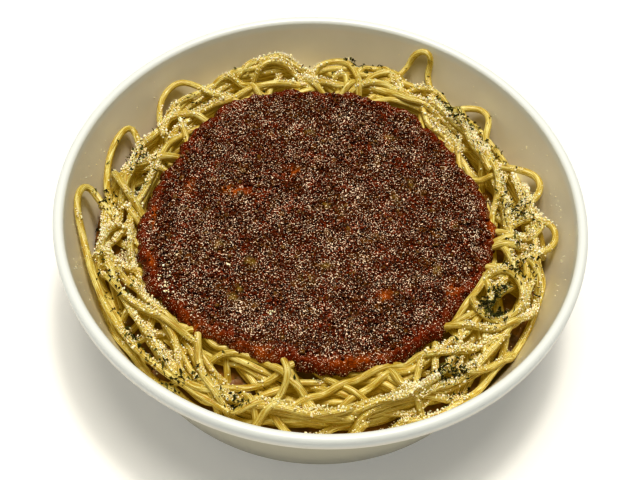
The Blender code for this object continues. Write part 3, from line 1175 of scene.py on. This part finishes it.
def dust(piece, surface, crumbs):
    """Marks where a piece lies under cheese, so that its material can show fine powder there."""
    side = int(2 * surface.reach / DUST_CELL) + 1
    edges = np.linspace(-surface.reach, surface.reach, side + 1)
    thick = np.histogram2d(crumbs[:, 0], crumbs[:, 1], bins=(edges, edges))[0]
    for axis in (0, 1):
        thick = sum(np.roll(thick, shift, axis) for shift in (-1, 0, 1)) / 3
    count = len(piece.data.vertices)
    points, normals = np.empty(3 * count, np.float32), np.empty(3 * count, np.float32)
    piece.data.vertices.foreach_get("co", points)
    piece.data.vertices.foreach_get("normal", normals)
    x, y, z = points.reshape(-1, 3).T
    column = np.clip(((x + surface.reach) / DUST_CELL).astype(int), 0, side - 1)
    row = np.clip(((y + surface.reach) / DUST_CELL).astype(int), 0, side - 1)
    faces_up = smooth(normals.reshape(-1, 3)[:, 2] + 0.4)
    near_top = smooth(1 - (surface.top(x, y) - z - DUST_DEPTH) / DUST_DEPTH)
    attribute(piece, "dust", np.minimum(thick[column, row] / DUST_FULL, 1) * faces_up * near_top)


def flake(size):
    """Points and faces of one dried leaf flake: a bent, ragged scrap with a little thickness."""
    corners = rng.integers(*FLAKE_CORNERS)
    angle = np.sort(rng.uniform(0, math.tau, corners))
    reach = size / 2 * rng.uniform(0.5, 1.15, corners)
    stretch = rng.uniform(1.1, 2.4)
    x, y = reach * np.cos(angle) * stretch, reach * np.sin(angle) / stretch**0.5
    curl = rng.uniform(-0.5, 0.5) / size
    z = curl * (x * x - y * y)
    upper = np.column_stack([x, y, z + FLAKE_THICKNESS / 2])
    lower = np.column_stack([x, y, z - FLAKE_THICKNESS / 2])
    faces = [list(range(corners)), list(range(2 * corners - 1, corners - 1, -1))]
    for corner in range(corners):
        after = (corner + 1) % corners
        faces.append([corner, corner + corners, after + corners, after])
    return np.vstack([upper, lower]), faces


def parsley_piece(surface, look):
    """The dried flakes on the pasta, each leaning its own way."""
    x, y = scatter(PARSLEY_PATCHES, PARSLEY_ANYWHERE, PARSLEY_SHARE)
    parts = Parts()
    for px, py, pz in zip(*on_pasta(x, y, surface)):
        size = rng.uniform(*FLAKE_SIZES) * MM
        points, faces = flake(size)
        lean = Matrix.Rotation(rng.normal(0, FLAKE_LEAN), 3, "X")
        lean = lean @ Matrix.Rotation(rng.normal(0, FLAKE_LEAN), 3, "Y")
        turn = np.array(lean @ Matrix.Rotation(rng.uniform(0, math.tau), 3, "Z"))
        parts.add(points @ turn.T + (px, py, pz + FLAKE_LIFT + 0.12 * size), faces)
    parts.piece("parsley", look, smooth_faces=False)


# ---------- materials


def linear(*colour):
    """A colour given from 0 to 255 in sRGB, as linear RGBA."""
    shares = [value / 255 for value in colour]
    straight = [share / 12.92 if share <= 0.04045 else ((share + 0.055) / 1.055) ** 2.4 for share in shares]
    return (*straight, 1.0)


class Look:
    """A Principled material with short ways to add nodes. Its colours are given from 0 to 255 in sRGB."""

    def __init__(self, name, **sockets):
        self.material = bpy.data.materials.new(name)
        self.material.use_nodes = True
        self.nodes = self.material.node_tree.nodes
        self.links = self.material.node_tree.links
        self.shader = self.nodes["Principled BSDF"]
        self.where = self.nodes.new("ShaderNodeTexCoord").outputs["Object"]
        for socket, value in sockets.items():
            self.shader.inputs[socket.replace("_", " ")].default_value = value

    def feed(self, socket, value):
        """Links a value to a socket, or sets it there if it is a plain number."""
        if isinstance(value, bpy.types.NodeSocket):
            self.links.new(value, socket)
        else:
            socket.default_value = value

    def node(self, kind, **inputs):
        """A node of that kind, with its inputs fed."""
        node = self.nodes.new("ShaderNode" + kind)
        for name, value in inputs.items():
            self.feed(node.inputs[name], value)
        return node

    def noise(self, size, detail=2.0, roughness=0.5, where=None):
        """Noise from 0 to 1, with features of that size in metres."""
        sockets = {"Vector": where or self.where, "Scale": 1 / size, "Detail": detail, "Roughness": roughness}
        return self.node("TexNoise", **sockets).outputs["Fac"]

    def cells(self, size, output="Distance"):
        """Cells of that size in metres: the distance from their middles, or a colour for each."""
        return self.node("TexVoronoi", Vector=self.where, Scale=1 / size).outputs[output]

    def kept(self, name, output="Fac"):
        """A number, or a vector, that the mesh keeps for each point."""
        node = self.node("Attribute")
        node.attribute_name = name
        return node.outputs[output]

    def ramp(self, value, *stops):
        """Colours or greys along a value: (place, colour) pairs."""
        node = self.node("ValToRGB", Fac=value)
        elements = node.color_ramp.elements
        while len(elements) < len(stops):
            elements.new(0.5)
        for element, (spot, colour) in zip(elements, stops):
            element.position = spot
            element.color = linear(*colour) if isinstance(colour, tuple) else (colour, colour, colour, 1.0)
        return node.outputs["Color"]

    def over(self, share, under, colour):
        """A plain colour over what is under it, as far as the share says."""
        node = self.node("Mix")
        node.data_type = "RGBA"
        for index, value in ((0, share), (6, under), (7, linear(*colour))):
            self.feed(node.inputs[index], value)
        return node.outputs[2]

    def maths(self, work, *values):
        """A sum of two or three values."""
        node = self.node("Math")
        node.operation = work
        for socket, value in zip(node.inputs, values):
            self.feed(socket, value)
        return node.outputs[0]

    def bump(self, height, distance, strength=1.0, under=None):
        """A bumpy normal, over the bumps under it."""
        node = self.node("Bump", Height=height, Distance=distance, Strength=strength)
        if under:
            self.feed(node.inputs["Normal"], under)
        return node.outputs["Normal"]

    def finish(self, colour, normal):
        """The material, with its colour and its bumps."""
        self.feed(self.shader.inputs["Base Color"], colour)
        self.feed(self.shader.inputs["Normal"], normal)
        return self.material


# Light that has passed through many strands leaves the gaps a deep yellow, not black: partly by subsurface
# scattering, and partly as a painted glow, a faint yellow emission that lifts the shade in the gaps.
SOAKED_WITH_PAINTED_GLOW = {
    "Subsurface_Weight": 0.3,
    "Subsurface_Radius": (1.0, 0.85, 0.6),
    "Emission_Color": (0.95, 0.65, 0.02, 1.0),
}
# The cheese's painted glow: a faint cream emission that brightens the crumbs' shaded sides, with a little
# subsurface scattering.
CREAMY_WITH_PAINTED_GLOW = {
    "Subsurface_Weight": 0.2,
    "Subsurface_Scale": 0.0006,
    "Emission_Color": (1.0, 0.93, 0.66, 1.0),
    "Emission_Strength": 0.12,
}
WET = {"Specular_IOR_Level": 0.2, "Specular_Tint": (1.0, 0.72, 0.55, 1.0)}
# The size of the painted glints' specks.
PAINTED_GLINT_SIZE = 0.47 * MM


def pasta_look():
    """Yellow strands streaked along their grain, with powder where crumbs lie thick, and a faint painted
    yellow glow that lifts their shade.
    """
    wet = {"Roughness": 0.38, "Coat_Weight": 0.15, "Coat_Roughness": 0.22}
    # Emission_Strength sets a painted glow: faint yellow emission that lifts the shade between strands.
    look = Look("cooked_pasta", Subsurface_Scale=0.001, Emission_Strength=0.045, **wet, **SOAKED_WITH_PAINTED_GLOW)
    tone = look.kept("tone")
    colour = look.ramp(tone, (0.0, (189, 170, 72)), (0.5, (199, 181, 86)), (1.0, (210, 194, 106)))
    stripes = look.noise(0.21, 3, 0.6, look.kept("grain", "Vector"))
    colour = look.over(look.ramp(stripes, (0.5, 0.0), (0.58, 1.0)), colour, (238, 230, 168))
    colour = look.over(look.ramp(stripes, (0.38, 0.9), (0.48, 0.0)), colour, (172, 128, 32))
    patches = look.ramp(look.noise(7 * MM, 3), (0.42, 0.0), (0.72, 0.4))
    colour = look.over(patches, colour, (196, 168, 76))
    powder = look.maths("MULTIPLY_ADD", look.kept("dust"), 0.34, look.noise(0.45 * MM, 2, 0.6))
    powder = look.ramp(powder, (0.63, 0.0), (0.72, 1.0))
    ridges = look.bump(stripes, 0.22 * MM, 0.55)
    speckle = look.bump(look.noise(0.5 * MM, 3), 0.1 * MM, 0.35, ridges)
    return look.finish(look.over(powder, colour, (246, 236, 196)), look.bump(powder, 0.2 * MM, 0.6, speckle))


def core_look():
    """The pasta deep in the gaps: painted shade, a brown darker than the strands, with a faint painted glow,
    and stained by the sauce.
    """
    # Painted shade and glow: the deep pasta is a brown darker than the strands' own yellow, as the shade in
    # the gaps, with a faint yellow emission.
    look = Look("pasta_in_shade", Roughness=0.45, Subsurface_Scale=0.002, Emission_Strength=0.02, **SOAKED_WITH_PAINTED_GLOW)
    colour = look.ramp(look.noise(2.5 * MM, 3), (0.3, (112, 68, 20)), (0.7, (158, 108, 36)))
    stained = look.ramp(look.noise(9 * MM, 2), (0.52, 0.0), (0.66, 0.8))
    lumps = look.bump(look.cells(2.4 * MM), 1.0 * MM, 0.6)
    return look.finish(look.over(stained, colour, (78, 30, 6)), lumps)


def finish_with_painted_glints(look, colour, calm=0.0):
    """The material with fine painted glints, pale specks over its colour that stand for light glinting off
    the wet surface, fewer where it is calm, and fine bumps.
    """
    crowd = look.maths("MULTIPLY_ADD", look.noise(7 * MM, 3), 0.22, look.noise(PAINTED_GLINT_SIZE, 1, 0.6))
    crowd = look.maths("MULTIPLY_ADD", calm, -0.035, crowd)
    # Painted highlights: pale specks in the base colour stand in for glints of light on the wet surface.
    painted_glints = look.ramp(crowd, (0.73, 0.0), (0.746, 1.0))
    bumps = look.bump(look.noise(0.7 * MM, 1, 0.5), 0.5 * MM, 1.0)
    return look.finish(look.over(painted_glints, colour, (255, 236, 212)), bumps)


def sauce_look():
    """Red-brown sauce with darker grains, pale bits, green and orange places, an orange edge and painted
    glints.
    """
    look = Look("meat_sauce_looks", Roughness=0.16, **WET)
    stops = ((0.36, (124, 46, 0)), (0.44, (107, 42, 0)), (0.55, (86, 36, 0)), (0.66, (110, 66, 4)))
    colour = look.ramp(look.noise(6 * MM, 3, 0.6), *stops)
    grains = look.ramp(look.noise(0.9 * MM, 3, 0.6), (0.43, 1.0), (0.56, 0.0))
    colour = look.over(grains, colour, (28, 4, 0))
    bits = look.ramp(look.cells(3.2 * MM, "Color"), (0.78, 0.0), (0.86, 0.6))
    body = look.ramp(look.cells(3.2 * MM), (0.25, 1.0), (0.42, 0.0))
    colour = look.over(look.maths("MULTIPLY", bits, body), colour, (124, 88, 34))
    uneven = look.ramp(look.noise(2.2 * MM, 3, 0.6), (0.38, 0.15), (0.6, 1.0))
    colour = look.over(look.maths("MULTIPLY", look.kept("olive"), uneven), colour, (144, 118, 48))
    edge = look.ramp(look.kept("edge"), (0.93, 0.0), (0.98, 0.8))
    edge = look.maths("MULTIPLY", edge, uneven)
    colour = look.over(edge, colour, (128, 48, 5))
    orange = look.maths("MULTIPLY", look.kept("orange"), uneven)
    colour = look.over(orange, colour, (172, 90, 10))
    return finish_with_painted_glints(look, colour, look.maths("MAXIMUM", edge, orange))


def mince_look():
    """Crumbs from red-brown meat to pale brown vegetable, with dark grains and painted glints."""
    look = Look("minced_meat", Roughness=0.2, **WET)
    stops = ((0.0, (98, 36, 1)), (0.4, (94, 40, 2)), (0.8, (104, 58, 10)), (0.95, (136, 98, 42)))
    colour = look.ramp(look.kept("tone"), *stops)
    dark = look.ramp(look.noise(0.7 * MM, 3), (0.4, 0.5), (0.56, 0.0))
    return finish_with_painted_glints(look, look.over(dark, colour, (46, 10, 0)))


def cheese_look():
    """Pale cream crumbs with a painted glow, a faint emission that brightens their shaded sides, and a little
    light passing through them.
    """
    look = Look("grated_cheese_looks", Roughness=0.7, Specular_IOR_Level=0.3, **CREAMY_WITH_PAINTED_GLOW)
    stops = ((0.0, (246, 232, 184)), (0.6, (253, 246, 216)), (1.0, (255, 254, 242)))
    rough = look.bump(look.noise(0.3 * MM, 2), 0.1 * MM, 0.5)
    return look.finish(look.ramp(look.kept("tone"), *stops), rough)


def parsley_look():
    """Dull dried green, from nearly black to olive."""
    look = Look("dried_parsley", Roughness=0.8, Specular_IOR_Level=0.05)
    stops = ((0.0, (50, 46, 26)), (0.6, (68, 68, 38)), (1.0, (112, 112, 56)))
    rough = look.bump(look.noise(0.3 * MM, 2), 0.1 * MM, 0.6)
    return look.finish(look.ramp(look.kept("tone"), *stops), rough)


def bowl_look():
    """White, with a faint painted warmth on the wall for light thrown back by the pasta, a cooler white rim,
    and painted shade, duller and yellower, outside below the lip where it faces down.
    """
    look = Look("white_bowl", Roughness=0.32, Specular_IOR_Level=0.5)
    height = look.maths("DIVIDE", look.node("SeparateXYZ", Vector=look.where).outputs["Z"], RIM_HEIGHT)
    rim = look.ramp(height, (0.93, 0.0), (0.965, 1.0))
    # Painted shade: the outside that faces down, below the lip, is duller and yellower.
    normal = look.node("NewGeometry").outputs["Normal"]
    upward = look.maths("MULTIPLY_ADD", look.node("SeparateXYZ", Vector=normal).outputs["Z"], 0.5, 0.5)
    outside = look.ramp(upward, (0.36, 1.0), (0.44, 0.0))
    # Painted warm light: the wall is a little warmer than the rim, for light thrown back by the pasta.
    body = look.ramp(look.noise(14 * MM, 3), (0.3, (241, 238, 227)), (0.7, (246, 243, 234)))
    body = look.over(outside, body, (201, 196, 174))
    waves = look.bump(look.noise(9 * MM, 1), 0.1 * MM, 0.12)
    return look.finish(look.over(rim, body, (241, 246, 245)), waves)


def floor_look():
    """A nearly white floor."""
    look = Look("pale_floor", Roughness=0.8, Emission_Color=(1.0, 1.0, 0.98, 1.0), Emission_Strength=0.18)
    colour = look.ramp(look.noise(0.4, 2), (0.3, (240, 240, 238)), (0.7, (244, 244, 242)))
    look.feed(look.shader.inputs["Base Color"], colour)
    return look.material


# ---------- stage

# The camera looks at a place (x, y) at the height of the rim.
CAMERA_DISTANCE = 0.430
CAMERA_ELEVATION = math.radians(52.0)
CAMERA_ROLL = math.radians(4.34)
CAMERA_LENS = 71.73
CAMERA_SENSOR = 36.0
CAMERA_CLIP = 0.01
AIM = (0.0001, -0.0158)
# Lights: name, place, width and power. All point at the food.
LIGHTS = (
    ("key", (0.0, 0.05, 1.3), 0.7, 9.0),
    ("spark", (0.05, 0.1, 1.3), 0.16, 3.5),
    ("fill", (-1.0, 0.1, 0.75), 1.0, 1.1),
)
LIT_PLACE = (0, 0, 0.04)
WARM = (1.0, 0.95, 0.85)
SKY = (0.98, 0.99, 1.0, 1.0)
SKY_STRENGTH = 0.04
FLOOR_WIDTH = 6


def aimed(spot, target):
    """The turn that makes a light or a camera at a spot look at its target."""
    return (Vector(target) - Vector(spot)).to_track_quat("-Z", "Y")


def area_light(name, spot, width, power):
    """A warm round light."""
    light = bpy.data.lights.new(name, "AREA")
    light.shape = "DISK"
    light.size = width
    light.energy = power
    light.color = WARM
    obj = bpy.data.objects.new(name, light)
    obj.location = spot
    obj.rotation_euler = aimed(spot, LIT_PLACE).to_euler()
    bpy.context.scene.collection.objects.link(obj)


def set_stage():
    """The floor, the lights and the pale surroundings."""
    bpy.ops.mesh.primitive_plane_add(size=FLOOR_WIDTH, location=(0, 0, 0))
    floor = bpy.context.object
    floor.name = "floor"
    floor.data.materials.append(floor_look())
    for light in LIGHTS:
        area_light(*light)
    world = bpy.data.worlds.new("soft_room")
    world.use_nodes = True
    background = world.node_tree.nodes["Background"]
    background.inputs["Color"].default_value = SKY
    background.inputs["Strength"].default_value = SKY_STRENGTH
    scene = bpy.context.scene
    scene.world = world
    scene.view_settings.view_transform = "Standard"
    scene.view_settings.look = "High Contrast"


def set_camera():
    """The camera of the photo."""
    data = bpy.data.cameras.new("camera")
    data.lens = CAMERA_LENS
    data.sensor_width = CAMERA_SENSOR
    data.clip_start = CAMERA_CLIP
    camera = bpy.data.objects.new("camera", data)
    back = CAMERA_DISTANCE * math.cos(CAMERA_ELEVATION)
    up = CAMERA_DISTANCE * math.sin(CAMERA_ELEVATION)
    spot = Vector((0, -back, RIM_HEIGHT + up))
    turn = aimed(spot, (*AIM, RIM_HEIGHT)).to_matrix().to_4x4()
    camera.matrix_world = Matrix.Translation(spot) @ turn @ Matrix.Rotation(CAMERA_ROLL, 4, "Z")
    bpy.context.scene.collection.objects.link(camera)
    bpy.context.scene.camera = camera


# ---------- all together


def main():
    """Camera and stage, the bowl, the strands, the sauce, and what is strewn on top."""
    set_camera()
    set_stage()
    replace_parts(bowl_piece(bowl_look()), "bowl")
    core = loft_core(core_look())
    under, over, surface = lay_all()
    pasta = pasta_look()
    under = strand_piece("spaghetti_under", under, pasta)
    over = strand_piece("spaghetti_over", over, pasta)
    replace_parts(core, "spaghetti")
    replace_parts(under, "spaghetti")
    sauce = sauce_piece(sauce_look())
    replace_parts(sauce, "meat_sauce")
    mince_piece(mince_look())
    crumbs = cheese_piece(surface, cheese_look())
    dust(under, surface, crumbs)
    dust(over, surface, crumbs)
    parsley_piece(surface, parsley_look())


main()
